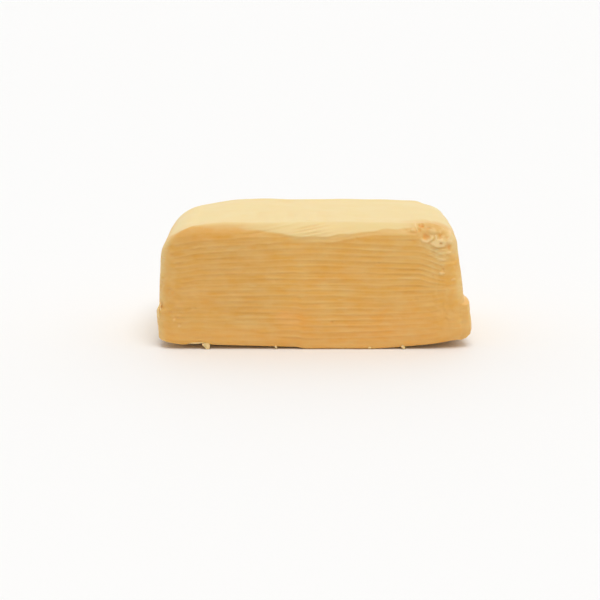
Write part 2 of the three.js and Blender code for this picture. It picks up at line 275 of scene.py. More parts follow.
class Skin:
    """A closed mesh that is built up row by row: its points, its faces and each point's rib."""

    def __init__(self, columns):
        rows, ribs = wall_rows(columns)
        count, self.round = rows.shape[:2]
        self.points = list(rows.reshape(-1, 3))
        self.ribs = list(np.repeat(ribs, self.round))
        self.faces = []
        for row in range(count - 1):
            self.join_rings(row * self.round, (row + 1) * self.round)
        self.close(columns, 0, is_top=False)
        self.close(columns, (count - 1) * self.round, is_top=True)
        self.points = np.array(self.points)
        self.ribs = np.array(self.ribs)

    def join_rings(self, lower, upper):
        """Joins two rings of the same count with four-sided faces."""
        for c in range(self.round):
            d = (c + 1) % self.round
            self.faces.append((lower + c, lower + d, upper + d, upper + c))

    def close(self, columns, start, is_top):
        """Closes the rim that begins at start: a ring of half as many points, then a grid."""
        rim = np.array(self.points[start : start + self.round])
        inward = -np.stack([columns.nx, columns.ny, 0 * columns.nx], axis=-1)
        ring = (rim + CAP_STEP * inward)[::2]
        inner = len(self.points)
        half = len(ring)
        if not is_top:
            ring[:, 2] = underside(ring[:, 0], ring[:, 1])
        self.add(ring)
        for c in range(half):
            a, b, d = (start + (2 * c + k) % self.round for k in range(3))
            e, f = inner + c, inner + (c + 1) % half
            for face in ((a, b, e), (b, f, e), (b, d, f)):
                self.faces.append(face if is_top else face[::-1])
        self.fill(ring, inner, is_top)

    def add(self, points):
        self.points.extend(points)
        self.ribs.extend([0.0] * len(points))

    def fill(self, rim, start, is_top):
        """Fills a rim with a grid that is blended from its four sides."""
        wide = (FACE_COLUMNS + CORNER_COLUMNS) // 2
        deep = (END_COLUMNS + CORNER_COLUMNS) // 2
        front = np.arange(wide + 1)
        right = wide + np.arange(deep + 1)
        back = 2 * wide + deep - np.arange(wide + 1)
        left = (2 * wide + 2 * deep - np.arange(deep + 1)) % len(rim)
        u = np.linspace(0, 1, wide + 1)[None, :, None]
        v = np.linspace(0, 1, deep + 1)[:, None, None]
        across = (1 - v) * rim[front][None] + v * rim[back][None]
        along = (1 - u) * rim[left][:, None] + u * rim[right][:, None]
        low = (1 - u) * rim[front[0]] + u * rim[front[-1]]
        high = (1 - u) * rim[back[0]] + u * rim[back[-1]]
        grid = across + along - (1 - v) * low - v * high
        if is_top:
            grid[..., 2] += CROWN * (np.sin(math.pi * u) * np.sin(math.pi * v))[..., 0] ** 2
        else:
            grid[..., 2] = underside(grid[..., 0], grid[..., 1])

        index = np.zeros((deep + 1, wide + 1), int)
        index[0], index[:, -1], index[-1], index[:, 0] = (s + start for s in (front, right, back, left))
        index[1:-1, 1:-1] = len(self.points) + np.arange((deep - 1) * (wide - 1)).reshape(deep - 1, -1)
        self.add(grid[1:-1, 1:-1].reshape(-1, 3))
        for j in range(deep):
            for i in range(wide):
                a, b = int(index[j, i]), int(index[j, i + 1])
                c, d = int(index[j + 1, i + 1]), int(index[j + 1, i])
                self.faces.append((a, b, c, d) if is_top else (a, d, c, b))


def normals_of(points, faces):
    """Outward unit normal of each point, from the faces round it."""
    quads = np.array([face if len(face) == 4 else (*face, face[2]) for face in faces])
    a, b, c, d = (points[quads[:, k]] for k in range(4))
    across = np.cross(c - a, d - b)
    total = np.zeros(points.shape)
    for k in range(4):
        np.add.at(total, quads[:, k], across)
    return total / np.linalg.norm(total, axis=1, keepdims=True)


# Soft unevenness of the whole skin above its foot: two scales, each a sum of three waves
SWELLS = ((37.0, 0.2), (14.0, 0.09))
WAVES = (((1, 0, 0.6), 1.3, 2.1), ((0, 0.8, -0.9), 0.7, 1.7), ((0.5, -0.4, 0.7), 0.0, 2.9))
SWELL_FOOT = (2.0, 9.0)


def swells(p):
    """Relief of the skin's soft unevenness."""
    total = np.zeros(len(p))
    for scale, (length, height) in enumerate(SWELLS):
        for along, phase, shift in WAVES:
            way = p @ np.array(along)
            total += height / 2 * np.sin(math.tau * way / length + phase + shift * scale)
    return total * smoothstep(p[:, 2], *SWELL_FOOT)


# Where the ribs fade out: at the foot, under the top edge, at both ends, in the lower right, and
# below a slanting line in the lower left, which lies further down on the back. They are shallower
# under the lip's middle and in the lower right half, and fade as the skin turns to the ends.
RIB_FOOT = (2.0, 5.0)
RIB_TOP = (38.5, 42.5)
RIB_LEFT = (47.5, 52.0)
RIB_RIGHT = (43.0, 46.5)
BARE_RIGHT = {"x": (40.0, 47.0), "z": (13.0, 24.0)}
BARE_LEFT = {"x": -49.0, "z": 25.0, "slope": -0.52, "soft": 3.0, "rest": 0.35}
BARE_BACK = {"drop": 8.0, "soft": 5.0}
BARE_MIDDLE = {"x": -4.0, "z": 36.5, "reach": (9.0, 2.6), "share": 0.7}
SOFT_RIGHT = {"x": (5.0, 35.0), "z": (8.0, 22.0), "share": 0.4}
RIB_FACING = 8


def rib_share(p, n):
    """How strongly the ribs show at a point, from 0 to 1."""
    x, _, z = p.T
    front = n[:, 1] < 0
    line = BARE_LEFT["z"] + BARE_LEFT["slope"] * (x - BARE_LEFT["x"])
    line = line - np.where(front, 0, BARE_BACK["drop"])
    soft = np.where(front, BARE_LEFT["soft"], BARE_BACK["soft"])
    over_line = smoothstep((z - line) / soft, -1, 1)
    over_line = BARE_LEFT["rest"] + (1 - BARE_LEFT["rest"]) * over_line
    off_right = 1 - smoothstep(x, *BARE_RIGHT["x"]) * fall(z, *BARE_RIGHT["z"])
    reach_x, reach_z = BARE_MIDDLE["reach"]
    middle = bell(x, BARE_MIDDLE["x"], reach_x) * bell(z, BARE_MIDDLE["z"], reach_z)
    off_middle = 1 - BARE_MIDDLE["share"] * middle * front
    low_right = smoothstep(x, *SOFT_RIGHT["x"]) * fall(z, *SOFT_RIGHT["z"])
    off_middle = off_middle * (1 - SOFT_RIGHT["share"] * low_right)
    ends = fall(-x, *RIB_LEFT) * fall(x, *RIB_RIGHT)
    upright = smoothstep(z, *RIB_FOOT) * fall(z, *RIB_TOP)
    return np.abs(n[:, 1]) ** RIB_FACING * over_line * off_right * off_middle * ends * upright


# Ribs wander by a share of their pitch, and their depth varies by patches. A thin crest sits on
# each rib's plain wave. Near the front's right end the upper ribs bend down by whole ribs.
RIB_WOBBLES = ((0.16, (24.0, 24.0, 5.0), 11), (0.05, (6.0, 6.0, 2.2), 13))
RIB_PATCHES = {"share": 0.85, "size": (11.0, 11.0, 2.2)}
RIB_CREST = {"share": 0.7, "ahead": 0.6}
RIB_DROOP = {"ribs": 1.9, "x": (35.0, 46.5), "foot": (19.0, 25.0)}


def rib_droop(p, n):
    """How many ribs the ribs have bent down by, near the front's right end."""
    x, _, z = p.T
    bend = smoothstep(x, *RIB_DROOP["x"]) * smoothstep(z, *RIB_DROOP["foot"])
    return RIB_DROOP["ribs"] * bend * (n[:, 1] < 0)


def rib_wave(p, n, rib):
    """The ribs' profile, from about -1 in a groove to 1 on a crest."""
    wobble = sum(share * noise(p, size, seed) for share, size, seed in RIB_WOBBLES)
    turn = math.tau * (rib + wobble + rib_droop(p, n))
    wave = np.cos(turn) - RIB_CREST["share"] * np.cos(2 * turn + RIB_CREST["ahead"])
    return -wave / (1 + RIB_CREST["share"] / 2)


def ribs(p, n, rib):
    """Relief of the ribs."""
    depth = RIB_DEPTH * (1 + RIB_PATCHES["share"] * noise(p, RIB_PATCHES["size"], seed=12))
    return depth / 2 * rib_wave(p, n, rib) * rib_share(p, n)


# Thin scratches along the ribs of the long faces, finer than a rib
SCORES = {"height": 0.15, "size": (8.0, 8.0, 0.8), "facing": 4}


def scores(p, n):
    """Relief of the scratches."""
    along = noise(p, SCORES["size"], seed=15)
    return SCORES["height"] * along * n[:, 1] ** SCORES["facing"] * fall(p[:, 2], *RIB_TOP)


# The lip over the front's top edge: its lower line dips round the middle, where it is thickest
LIP = {"out": 0.8, "thinnest": 0.25, "up_fade": 3.0}
LIP_LINE = {"drop": 1.3, "dip": 3.1, "middle": -0.5, "left": 19.0, "right": 22.0}
LIP_ENDS = {"middle": 4.0, "fade": (24.0, 40.0)}
LIP_EDGE = {"soft": 1.3, "crisp": 0.4, "x": (-22.0, -4.0)}
LIP_WAVER = {"height": 0.35, "size": (4.0, 4.0, 40.0)}

# The fold under the lip, a thinner layer with a crisp edge that rises to the right
FOLD = {"out": 0.4, "start": (2.0, 6.0), "stop": (30.0, 37.0), "z": 40.1, "dip": 2.5, "x": (2.0, 21.0)}
FOLD_EDGE = {"wide": 0.35, "up_fade": 2.0}


def lip_dip(x):
    """How far the lip's lower line has dipped, from 0 at its ends to 1 in its middle."""
    reach = np.where(x < LIP_LINE["middle"], LIP_LINE["left"], LIP_LINE["right"])
    return bell(x, LIP_LINE["middle"], reach)


def over_lip_line(p):
    """Height of a point over the lip's lower line."""
    dip = lip_dip(p[:, 0])
    waver = LIP_WAVER["height"] * noise(p, LIP_WAVER["size"], seed=21)
    return p[:, 2] - HEIGHT + LIP_LINE["drop"] + LIP_LINE["dip"] * dip + waver


def over_fold_line(p):
    """Height of a point over the fold's lower line."""
    return p[:, 2] - FOLD["z"] + FOLD["dip"] * fall(p[:, 0], *FOLD["x"])


def along_fold(p):
    """1 along the fold, falling to 0 at its two ends."""
    return smoothstep(p[:, 0], *FOLD["start"]) * fall(p[:, 0], *FOLD["stop"])


def lip(p, n):
    """Relief of the lip and the fold."""
    x = p[:, 0]
    over = over_lip_line(p)
    edge = LIP_EDGE["crisp"] + (LIP_EDGE["soft"] - LIP_EDGE["crisp"]) * fall(x, *LIP_EDGE["x"])
    upward = smoothstep(over / edge, -1, 1) * np.exp(-np.maximum(0, over) / LIP["up_fade"])
    ends = fall(np.abs(x - LIP_ENDS["middle"]), *LIP_ENDS["fade"])
    thick = LIP["thinnest"] + (1 - LIP["thinnest"]) * lip_dip(x)
    over = over_fold_line(p)
    fold = smoothstep(over / FOLD_EDGE["wide"], -1, 1)
    fold = fold * np.exp(-np.maximum(0, over) / FOLD_EDGE["up_fade"])
    fold = fold * along_fold(p)
    facing = np.where(n[:, 1] < 0, n[:, 1] ** 2, 0)
    return facing * (LIP["out"] * upward * ends * thick + FOLD["out"] * fold)


# Slanting streaks on the lip, most of them left of its middle
STREAKS = {"slope": 0.17, "size": (11.0, 11.0, 0.45), "x": -7.0, "z": 41.8, "reach": (15.0, 2.3)}
STREAK_HEIGHT = 0.65


def streaks(p, n):
    """How strongly the streaks show at a point, from about -1 between two to 1 on one."""
    x, y, z = p.T
    near = bell(x, STREAKS["x"], STREAKS["reach"][0]) * bell(z, STREAKS["z"], STREAKS["reach"][1])
    slanted = np.stack([x, y, z - STREAKS["slope"] * x], axis=-1)
    return noise(slanted, STREAKS["size"], seed=22) * near * (n[:, 1] < 0)


# Ledges on the two ends, left by the wrapper's folds. Each stands out below the height z with a
# soft edge, thins towards its foot, and falls to a share of itself from the front to the back.
RIGHT_LEDGE = {"out": 1.9, "z": 16.0, "edge": 0.4, "foot": -60.0, "y": (-27.0, -8.0), "rest": 0.3}
RIGHT_LEDGE_FACING = (0.62, 0.88)
LEFT_LEDGE = {"out": 1.0, "z": 13.8, "edge": 0.7, "foot": -2.0, "y": (-20.0, 4.0), "rest": 0.0}
LEFT_LEDGE_FACING = (0.2, 0.9)
LEDGE_WAVER = {"height": 0.5, "size": (8.0, 8.0, 60.0)}


def ledges(p, n):
    """Relief of the ledges."""
    total = np.zeros(len(p))
    waver = LEDGE_WAVER["height"] * noise(p, LEDGE_WAVER["size"], seed=31)
    level = np.maximum(np.hypot(n[:, 0], n[:, 1]), TINY)
    on_right = smoothstep(n[:, 0] / level, *RIGHT_LEDGE_FACING) * level**2
    on_left = smoothstep(-n[:, 0], *LEFT_LEDGE_FACING)
    for ledge, on in ((RIGHT_LEDGE, on_right), (LEFT_LEDGE, on_left)):
        under = fall(p[:, 2] - ledge["z"] + waver, -ledge["edge"], ledge["edge"])
        under = under * smoothstep(p[:, 2], ledge["foot"], ledge["z"])
        along = 1 - (1 - ledge["rest"]) * smoothstep(p[:, 1], *ledge["y"])
        total += on * ledge["out"] * under * along
    return total


# Creases that the wrapper's folded ends pressed into both end faces: from each bottom corner they
# climb slanting towards the middle
CREASE = {"depth": 0.22, "wide": 0.55, "start": 3.0, "climb": 0.95, "stop": (26.0, 31.0), "facing": 0.5}


def creases(p, n):
    """Relief of the creases."""
    _, y, z = p.T
    off = (HALF_Y - np.abs(y)) * CREASE["climb"] - z + CREASE["start"]
    facing = np.where(np.abs(n[:, 0]) > CREASE["facing"], n[:, 0] ** 2, 0)
    return -CREASE["depth"] * bell(off, 0, CREASE["wide"]) * fall(z, *CREASE["stop"]) * facing


# The crushed corner at the right end of the lip, and other torn spots. Pits: x, z, half width and
# half height, depth, and how much of the deep butter they show
PITS = (
    (36.5, 43.4, 1.1, 1.4, 0.8, 1.0),
    (35.9, 42.3, 0.6, 0.9, 0.5, 0.5),
    (38.0, 40.1, 1.2, 1.5, 0.75, 1.0),
    (39.2, 42.6, 0.8, 0.6, 0.35, 0.4),
    (42.9, 40.1, 0.8, 1.0, 0.5, 0.8),
    (45.2, 39.7, 0.8, 0.5, 0.4, 0.5),
    (42.8, 42.6, 0.35, 1.1, 0.35, 0.2),
    (42.9, 37.7, 0.6, 0.4, 0.9, 1.0),
    (45.9, 36.3, 0.8, 0.9, 0.5, 0.8),
    (45.6, 33.6, 0.6, 0.4, 0.35, 0.3),
    (34.8, 42.0, 0.5, 1.0, 0.4, 0.3),
    (33.0, 41.2, 1.8, 0.35, 0.3, 0.1),
    (40.4, 38.4, 0.9, 0.3, 0.3, 0.2),
    (43.2, 36.0, 2.8, 0.3, 0.3, 0.5),
    (44.0, 28.3, 0.6, 0.5, 0.4, 0.4),
    (48.0, 24.0, 0.6, 0.9, 0.35, 0.3),
    (5.5, 9.8, 0.6, 0.45, 0.5, 0.8),
    (-49.7, 33.3, 0.7, 0.5, 0.25, 0.4),
    (-49.4, 20.2, 0.7, 0.9, 0.3, 0.4),
    (-50.5, 13.2, 0.8, 0.6, 0.35, 0.4),
    (-48.7, 11.6, 0.6, 0.6, 0.3, 0.4),
    (-47.2, 9.3, 0.7, 0.6, 0.4, 0.3),
)

# Lumps of torn butter: x, z, half width and half height, how far they stand out, how torn they look
LUMPS = (
    (42.8, 37.65, 2.9, 1.3, 0.6, 1.0),
    (33.9, 42.2, 1.0, 0.6, 0.35, 0.5),
    (40.5, 41.8, 1.3, 1.0, 0.3, 0.3),
    (46.1, 38.1, 0.8, 0.7, 0.4, 0.6),
    (46.3, 34.3, 0.9, 0.5, 0.35, 0.6),
    (43.4, 31.9, 1.6, 0.35, 0.25, 0.5),
    (48.0, 24.9, 0.7, 0.4, 0.3, 0.5),
    (43.8, 27.3, 0.9, 0.4, 0.3, 0.6),
    (-47.6, 8.6, 0.6, 0.4, 0.25, 0.5),
    (-48.9, 10.6, 0.5, 0.4, 0.25, 0.5),
)

# Rims pushed up round pits: x and z of the middle, radius, middle and half span of their arc in
# degrees, half thickness, and how far they stand out
RIMS = (
    (38.1, 40.6, 2.4, 280, 75, 0.5, 0.5),
    (36.5, 43.4, 1.9, 200, 40, 0.35, 0.3),
    (42.8, 40.2, 1.6, 200, 35, 0.3, 0.2),
    (44.0, 40.4, 2.3, 340, 40, 0.35, 0.25),
)

# Where pits, their colour, lumps and rims fade out, as shares of their sizes, how torn the rims
# look, and how ragged the outlines of all are
PIT_EDGE = (0.3, 1.2)
PIT_COLOUR_EDGE = (0.4, 1.15)
LUMP_EDGE = (0.8, 1.2)
RIM_EDGE = (0.2, 1.4)
RIM_TORN = 0.8
RAGGED = {"share": 0.35, "size": (0.8, 0.8, 0.8)}

# Crumpling of the crushed corner, at two scales
CRUMPLE = {"x": 42.0, "z": 40.2, "reach": (5.5, 4.2), "facing": 0.1, "torn": 0.5}
CRUMPLES = ((0.4, (2.2, 2.2, 1.4), 42), (0.22, (1.0, 1.0, 0.8), 43))


# The front with its rounded edges is what faces forward by at least this. All else counts as far.
FRONT_FACING = 0.2
FAR = 100


def find_on_skin(p, n, x, z):
    """The point of the front's skin nearest to x and z."""
    away = np.hypot(p[:, 0] - x, p[:, 2] - z) + FAR * (n[:, 1] > -FRONT_FACING)
    return p[np.argmin(away)]


def distance_to(p, centre, half_wide, half_high):
    """Distance from centre in half sizes, the half width counting along the block too."""
    return np.linalg.norm((p - centre) / (half_wide, max(half_wide, half_high), half_high), axis=1)


def arc_share(p, centre, radius, middle, half_span, half_thick, ragged):
    """1 on an arc round centre in the front's plane, falling to 0 off it."""
    right, _, up = (p - centre).T
    off = np.abs(np.hypot(right, up) - radius) / half_thick + ragged
    turned = (np.degrees(np.arctan2(up, right)) - middle + 180) % 360 - 180
    near = np.linalg.norm(p - centre, axis=1) < 3 * radius
    return fall(off, *RIM_EDGE) * fall(np.abs(turned), half_span / 2, half_span) * near


def crushed(p, n):
    """Relief of the pits, lumps, rims and crumpling, with how deep and how torn they look."""
    ragged = RAGGED["share"] * noise(p, RAGGED["size"], seed=41)
    out, deep, torn = np.zeros((3, len(p)))
    for x, z, half_wide, half_high, depth, share in PITS:
        away = distance_to(p, find_on_skin(p, n, x, z), half_wide, half_high) + ragged
        out -= depth * fall(away, *PIT_EDGE)
        deep = np.maximum(deep, share * fall(away, *PIT_COLOUR_EDGE))
    for x, z, half_wide, half_high, height, share in LUMPS:
        away = distance_to(p, find_on_skin(p, n, x, z), half_wide, half_high) + ragged
        lump = fall(away, *LUMP_EDGE)
        out += height * lump
        torn = np.maximum(torn, share * lump)
    for x, z, radius, middle, half_span, half_thick, height in RIMS:
        centre = find_on_skin(p, n, x, z)
        rim = arc_share(p, centre, radius, middle, half_span, half_thick, ragged)
        out += height * rim
        torn = np.maximum(torn, RIM_TORN * rim)
    x, _, z = p.T
    near = bell(x, CRUMPLE["x"], CRUMPLE["reach"][0]) * bell(z, CRUMPLE["z"], CRUMPLE["reach"][1])
    for height, size, seed in CRUMPLES:
        bumps = near * noise(p, size, seed) * (n[:, 1] < -CRUMPLE["facing"])
        out += height * bumps
        torn += CRUMPLE["torn"] * np.maximum(0, bumps)
    return out, deep, torn * (1 - deep)


# Fine roughness of the front towards both its ends, at two scales, with paler and deeper blotches
ROUGH_ENDS = ((0.2, (1.7, 1.7, 2.0), 46), (0.14, (0.8, 0.8, 0.8), 47))
BLOTCHES = {"share": 0.16, "size": (1.9, 1.9, 3.0)}
ROUGH_LEFT = (41.0, 50.0)
ROUGH_RIGHT = (37.0, 46.0)
ROUGH_HEIGHT = (5.0, 14.0)


def rough_share(p, n):
    """How rough the skin is at a point, from 0 to 1."""
    x, _, z = p.T
    ends = smoothstep(-x, *ROUGH_LEFT) + smoothstep(x, *ROUGH_RIGHT)
    return ends * smoothstep(z, *ROUGH_HEIGHT) * np.clip(-n[:, 1], 0, 1)


def rough_ends(p, n):
    """Relief of the fine roughness."""
    return rough_share(p, n) * sum(h * noise(p, size, seed) for h, size, seed in ROUGH_ENDS)


# Nicks scattered over the upright edges and, more rarely, the faces: how many, their radii and
# depths, how much longer than high they are, and how steep the skin is where they lie
NICKS = {"count": 170, "radius": (0.4, 1.1), "depth": (0.08, 0.3), "longer": 1.5, "steep": 0.7}
NICK_EDGE = (0.2, 1.0)

# How likely a nick is on the faces, beside the upright edges above the foot
NICK_CHANCE = {"on_faces": 0.02, "foot": 4}


def nicks(p, n):
    """Small shallow dents, most of them along the upright edges."""
    draw = np.random.default_rng(51)
    edge = np.abs(n[:, 0]) * np.abs(n[:, 1]) * (p[:, 2] > NICK_CHANCE["foot"])
    weight = (NICK_CHANCE["on_faces"] + edge) * (np.abs(n[:, 2]) < NICKS["steep"])
    centres = p[draw.choice(len(p), NICKS["count"], p=weight / weight.sum())]
    radii = draw.uniform(*NICKS["radius"], NICKS["count"])
    depths = draw.uniform(*NICKS["depth"], NICKS["count"])
    out = np.zeros(len(p))
    for centre, radius, depth in zip(centres, radii, depths):
        out -= depth * fall(distance_to(p, centre, NICKS["longer"] * radius, radius), *NICK_EDGE)
    return out


# Whitish smears on the front, and darker ones, whose strength is below 0: x, z, half width, half
# height, rise to the right, and strength
SMEARS = (
    (-28.0, 35.8, 2.6, 0.6, 0.12, 0.4),
    (22.5, 35.4, 5.0, 1.0, -0.05, 0.25),
    (-22.0, 27.0, 3.4, 1.6, 0.1, 0.15),
    (-21.3, 22.7, 1.2, 0.22, 0.0, 0.6),
    (8.9, 17.7, 1.3, 0.25, 0.0, 0.4),
    (48.7, 7.7, 2.6, 0.14, 0.0, 0.6),
    (-24.0, 12.0, 6.0, 0.35, 0.08, 0.3),
    (-25.0, 10.0, 5.0, 0.3, 0.05, 0.3),
    (39.6, 41.5, 6.5, 3.0, 0.0, 0.3),
    (40.5, 36.2, 3.6, 2.4, -0.2, 0.6),
    (43.4, 33.5, 3.6, 4.5, -0.3, 0.34),
    (46.8, 38.0, 2.4, 6.0, 0.0, 0.42),
    (50.0, 36.0, 1.6, 5.0, 0.0, 0.1),
    (-53.4, 32.0, 1.6, 8.0, 0.0, 0.4),
    (49.6, 21.5, 1.6, 3.2, 0.0, 0.25),
    (49.5, 30.0, 3.0, 4.0, 0.0, -0.3),
    (-7.8, 10.8, 5.0, 3.2, 0.0, -0.15),
    (30.0, 7.2, 9.0, 3.0, 0.0, 0.08),
    (-51.8, 37.2, 1.8, 3.0, 0.0, 0.65),
    (-46.0, 42.0, 6.0, 2.6, 0.1, -0.25),
    (40.0, 29.0, 2.6, 4.0, 0.0, 0.2),
    (-49.5, 22.0, 1.5, 14.0, 0.0, 0.15),
)
SMEAR_RAGGED = {"share": 0.8, "size": (1.2, 9.0, 0.5)}

# Warmer patches of the front: x, z, half width, half height and strength
WARM_PATCHES = (
    (-10.9, 12.7, 3.0, 1.8, 0.3),
    (-6.6, 10.8, 7.0, 3.4, 0.36),
    (-37.9, 19.5, 9.0, 5.0, 0.1),
    (-20.0, 4.5, 40.0, 4.0, 0.2),
    (-40.0, 39.5, 9.0, 1.2, 0.15),
    (10.0, 26.0, 14.0, 3.0, 0.08),
    (30.0, 8.0, 26.0, 9.0, 0.3),
)


def patches(p, n):
    """How pale the smears are and how warm the patches are."""
    x, _, z = p.T
    pale, warm = np.zeros((2, len(p)))
    front = n[:, 1] < -FRONT_FACING
    ragged = 1 + SMEAR_RAGGED["share"] * noise(p, SMEAR_RAGGED["size"], seed=61)
    pale += BLOTCHES["share"] * noise(p, BLOTCHES["size"], seed=62) * rough_share(p, n)
    for at_x, at_z, wide, high, rise, strength in SMEARS:
        off = z - at_z - rise * (x - at_x)
        pale += strength * bell(x, at_x, wide) * bell(off, 0, high) * front * ragged
    for at_x, at_z, wide, high, strength in WARM_PATCHES:
        warm += strength * bell(x, at_x, wide) * bell(z, at_z, high) * front
    return pale, warm


# How pale the butter is. Where it faces up and on the lip, this is partly paler butter and partly
# painted light from above; on the fold, along the left shoulder and under the lip's middle it is
# paler. On rounded upright edges, on the ends and towards the foot it is painted light, and on the
# ribs' crests, most of all where they droop, a painted highlight. The top is less pale over the
# crushed corner and along the rest of its front rim, and at the front and on the left it has to face
# up more to be pale.
PALE_FORWARD = (0.1, 0.5)
PALE_UP = {"start": 0.35, "full": 0.85}
PALE_UP_FRONT = {"start": 0.56, "full": 1.0}
PALE_UP_LEFT = {"x": (-44.0, -33.0), "inward": (3.0, 11.0), "start": 0.35}
PALE_LIP = {"start": -0.3, "full": 0.5, "share": 0.97, "streaks": 0.6}
PALE_SHOULDER = {"share": 0.5, "x": (-50.0, -43.0)}
PALE_SKIRT = {"share": 0.65, "reach": (0.0, 2.6), "middle": -1.0, "wide": 10.0}
PALE_FOLD = {"start": -0.2, "full": 0.4, "share": 0.4}
CRUSHED_TOP = {"x": 41.0, "wide": 6.5, "inward": (6.0, 19.0), "share": 1.0}
TOP_RIM = {"middle": -4.0, "wide": 14.0, "inward": (4.0, 17.0), "share": 0.2}
EDGE_LIGHT = {"start": 0.35, "full": 0.85, "share": 0.3}
FOOT_LIGHT = {"z": (0.0, 22.0), "share": 0.09}
CREST_HIGHLIGHT = {"share": 0.12, "droop": 0.3}


def pale_and_lit_top(p, n):
    """How pale the butter is where it faces up: partly a paler top, partly painted light from above."""
    x, y, _ = p.T
    upright = np.maximum(TINY, 1 - n[:, 2] ** 2)
    forward = (n[:, 1] < 0) * smoothstep(n[:, 1] ** 2 / upright, *PALE_FORWARD)
    start, full = (PALE_UP[k] + (PALE_UP_FRONT[k] - PALE_UP[k]) * forward for k in ("start", "full"))
    near = np.maximum(forward, fall(y + HALF_Y, *PALE_UP_LEFT["inward"]))
    start = start + PALE_UP_LEFT["start"] * near * fall(x, *PALE_UP_LEFT["x"])
    up = smoothstep(n[:, 2], start, full)
    over_corner = bell(x, CRUSHED_TOP["x"], CRUSHED_TOP["wide"])
    up = up * (1 - CRUSHED_TOP["share"] * over_corner * fall(y + HALF_Y, *CRUSHED_TOP["inward"]))
    off_lip = 1 - bell(x, TOP_RIM["middle"], TOP_RIM["wide"])
    return up * (1 - TOP_RIM["share"] * off_lip * fall(y + HALF_Y, *TOP_RIM["inward"]))


def pale_and_painted_light(p, n, rib):
    """Share of the pale colour: paler butter, with painted light on the top, lip, edges and foot and a
    painted highlight on the ribs' crests.
    """
    x, _, z = p.T
    front = n[:, 1] < 0
    over = over_lip_line(p)
    ends = fall(np.abs(x - LIP_ENDS["middle"]), *LIP_ENDS["fade"]) * front
    shoulder = PALE_SHOULDER["share"] * smoothstep(x, *PALE_SHOULDER["x"]) * (x < 0) * front
    on_lip = smoothstep(over, PALE_LIP["start"], PALE_LIP["full"]) * np.maximum(ends, shoulder)
    skirt = bell(x, PALE_SKIRT["middle"], PALE_SKIRT["wide"]) * fall(-over, *PALE_SKIRT["reach"])
    on_fold = smoothstep(over_fold_line(p), PALE_FOLD["start"], PALE_FOLD["full"])
    on_fold = on_fold * along_fold(p) * front
    # Painted light where the skin turns towards the ends, on the rounded upright edges and the end
    # faces
    edge = smoothstep(np.abs(n[:, 0]), EDGE_LIGHT["start"], EDGE_LIGHT["full"])
    shares = (
        pale_and_lit_top(p, n),
        PALE_LIP["share"] * on_lip,
        PALE_SKIRT["share"] * skirt * front,
        PALE_FOLD["share"] * on_fold,
        EDGE_LIGHT["share"] * edge,
    )
    # Painted highlight on the ribs' crests, strongest where they droop
    crest = CREST_HIGHLIGHT["share"] * (1 + CREST_HIGHLIGHT["droop"] * rib_droop(p, n))
    crest = crest * rib_wave(p, n, rib) * rib_share(p, n)
    streaky = PALE_LIP["streaks"] * streaks(p, n)
    # The share towards the foot is painted light
    return np.maximum.reduce(shares) + crest + streaky + FOOT_LIGHT["share"] * fall(z, *FOOT_LIGHT["z"])


# Painted shade in the pits: how much warmer and darker their hollows are made
PIT_WARM_SHADE = 0.5
PIT_SHADE = 0.08

# Painted shade in the ribs' grooves and towards the front's left end, and a darker colour on the
# right ledge, over the crushed corner and on the left shoulder
GROOVE_SHADE = 0.22
LEFT_SHADE = {"share": 0.28, "x": (-26.0, -4.0), "z": (2.0, 16.0)}
DARKER_LEDGE = {"share": 0.12, "x": (48.0, 53.0), "z": (14.0, 17.0)}
DARKER_CRUSHED = {"share": 0.45, "z": (36.0, 42.0)}
DARKER_SHOULDER = {"share": 0.25, "x": -46.0, "wide": 6.0, "z": 41.0, "high": 3.5, "facing": 0.1}


def darkness_and_painted_shade(p, n, rib):
    """Share of the darker colour: painted shade in the grooves and towards the front's left end, and
    darker patches.
    """
    x, y, z = p.T
    # Painted shade in the ribs' grooves
    grooves = GROOVE_SHADE * np.clip(-rib_wave(p, n, rib), 0, 1) * rib_share(p, n)
    # Painted shade towards the front's left end
    left = fall(x, *LEFT_SHADE["x"]) * smoothstep(z, *LEFT_SHADE["z"]) * np.clip(-2 * n[:, 1], 0, 1)
    ledge = smoothstep(x, *DARKER_LEDGE["x"]) * fall(z, *DARKER_LEDGE["z"])
    over = bell(x, CRUSHED_TOP["x"], CRUSHED_TOP["wide"]) * smoothstep(z, *DARKER_CRUSHED["z"])
    over = over * fall(y + HALF_Y, *CRUSHED_TOP["inward"])
    shoulder = bell(x, DARKER_SHOULDER["x"], DARKER_SHOULDER["wide"])
    shoulder = shoulder * bell(z, DARKER_SHOULDER["z"], DARKER_SHOULDER["high"])
    shoulder = shoulder * (n[:, 1] < -DARKER_SHOULDER["facing"])
    shares = (
        (LEFT_SHADE, left),
        (DARKER_LEDGE, ledge),
        (DARKER_CRUSHED, over),
        (DARKER_SHOULDER, shoulder),
    )
    return grooves + sum(where["share"] * amount for where, amount in shares)


# Painted highlight on the lip's middle, in the torn butter's colour
LIP_HIGHLIGHT = {"share": 0.4, "x": 2.5, "wide": 9.0, "z": 41.9, "high": 1.9}


def lip_highlight(p, n):
    """Share of the torn butter's colour painted on the lip's middle as a highlight."""
    x, _, z = p.T
    near = bell(x, LIP_HIGHLIGHT["x"], LIP_HIGHLIGHT["wide"]) * bell(z, LIP_HIGHLIGHT["z"], LIP_HIGHLIGHT["high"])
    return LIP_HIGHLIGHT["share"] * near * (n[:, 1] < 0)


def make_object(name, points, faces, material):
    """A smooth mesh object from points in millimetres."""
    mesh = bpy.data.meshes.new(name)
    mesh.from_pydata((np.asarray(points) * MM).tolist(), [], faces)
    mesh.shade_smooth()
    mesh.materials.append(material)
    piece = bpy.data.objects.new(name, mesh)
    bpy.context.scene.collection.objects.link(piece)
    return piece


